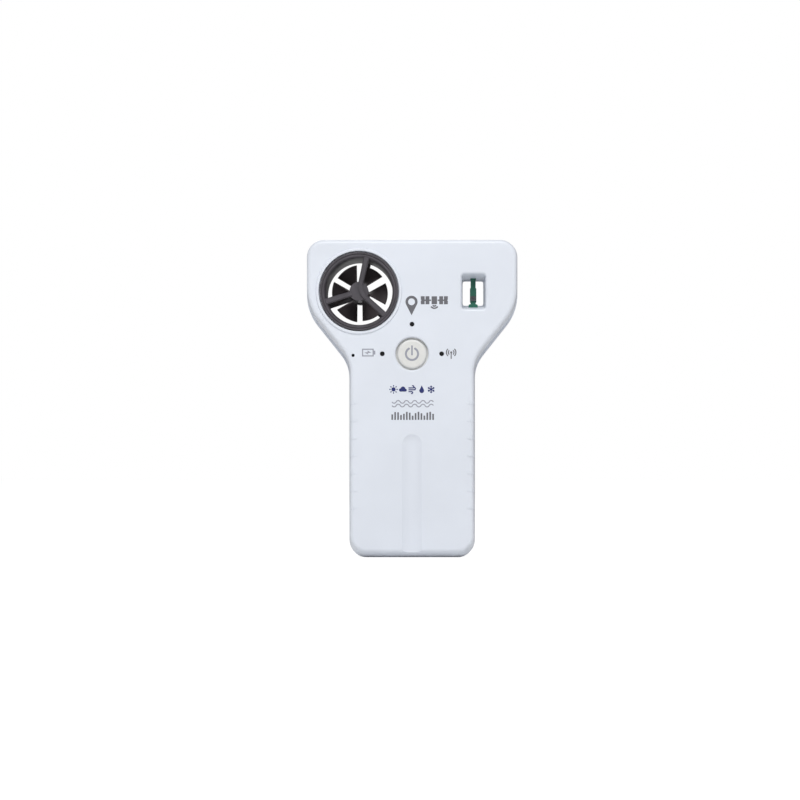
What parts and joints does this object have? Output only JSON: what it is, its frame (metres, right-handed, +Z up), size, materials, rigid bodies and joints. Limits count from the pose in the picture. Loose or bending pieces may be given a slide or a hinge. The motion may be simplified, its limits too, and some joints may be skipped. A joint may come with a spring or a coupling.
{
  "type": "hand-held wireless weather sensor",
  "caption": "Hand-held wireless weather sensor: wind impeller in a tunnel, open sensor window, power button, status lights and a tripod thread in the base.",
  "frame": {"origin": "centre of the tripod thread's mouth, on the flat base and on the parting plane of the case", "axes": "+Z up the handle, +X to the right seen from the front, front face towards -Y"},
  "size_m": [0.0932, 0.0251, 0.14],
  "materials": {
    "case_plastic": "fine satin moulded ABS, cool white",
    "ring_plastic": "dark grey moulded plastic, satin",
    "tube_plastic": "dark grey moulded tube",
    "impeller_plastic": "near-black moulded plastic",
    "button_plastic": "light grey satin button",
    "plunger_plastic": "switch plunger",
    "light_pipe": "smoked clear plastic",
    "lamp_plastic": "small surface lamp",
    "board_green": "solder mask over copper",
    "chip_plastic": "moulded chip",
    "can_metal": "tinned steel can",
    "screw_steel": "zinc-plated steel",
    "axle_steel": "polished steel wire",
    "magnet_metal": "nickel-plated magnet",
    "jewel": "synthetic ruby",
    "seal_rubber": "black O-ring rubber",
    "label_film": "blank satin film label",
    "membrane": "breathable membrane",
    "antenna_ceramic": "ceramic patch with silvered face",
    "cell_foil": "laminate pouch",
    "foam": "thin foam tape",
    "plug_plastic": "natural nylon",
    "lead_red": "insulated wire",
    "lead_black": "insulated wire",
    "insert_brass": "turned brass"
  },
  "bodies": {
    "case": {"front_shell": "case_plastic", "rear_shell": "case_plastic", "case_screws": "screw_steel", "board_screws": "screw_steel", "rear_label": "label_film", "front_strut_ring": "ring_plastic", "rear_strut_ring": "ring_plastic", "wind_tube": "tube_plastic", "tube_o_rings": "seal_rubber", "front_jewel_bearing": "jewel", "rear_jewel_bearing": "jewel", "hall_sensor": "chip_plastic", "main_board": "board_green", "sensor_board": "board_green", "humidity_sensor": "chip_plastic", "power_switch_body": "chip_plastic", "battery_light_pipe": "light_pipe", "radio_light_pipe": "light_pipe", "gps_light_pipe": "light_pipe", "status_leds": "lamp_plastic", "pressure_sensor": "can_metal", "vent_membrane": "membrane", "gps_module": "board_green", "gps_antenna": "antenna_ceramic", "radio_module": "can_metal", "processor_chip": "chip_plastic", "usb_socket": "can_metal", "battery": "cell_foil", "battery_pad": "foam", "battery_connector": "plug_plastic", "battery_plug": "plug_plastic", "battery_lead_red": "lead_red", "battery_lead_black": "lead_black", "tripod_insert": "insert_brass"},
    "impeller": {"impeller": "impeller_plastic", "impeller_axle": "axle_steel", "impeller_magnet": "magnet_metal"},
    "power_button": {"power_button": "button_plastic", "power_switch_plunger": "plunger_plastic"}
  },
  "joints": [
    {"name": "impeller_spin", "type": "hinge", "parent": "case", "child": "impeller", "pos_m": [-0.02315, 0, 0.1163], "axis": [0, -1, 0], "continuous": true},
    {"name": "power_button_press", "type": "slide", "parent": "case", "child": "power_button", "axis": [0, 1, 0], "range_m": [0, 0.0007], "stiffness_N_per_m": 2000}
  ]
}
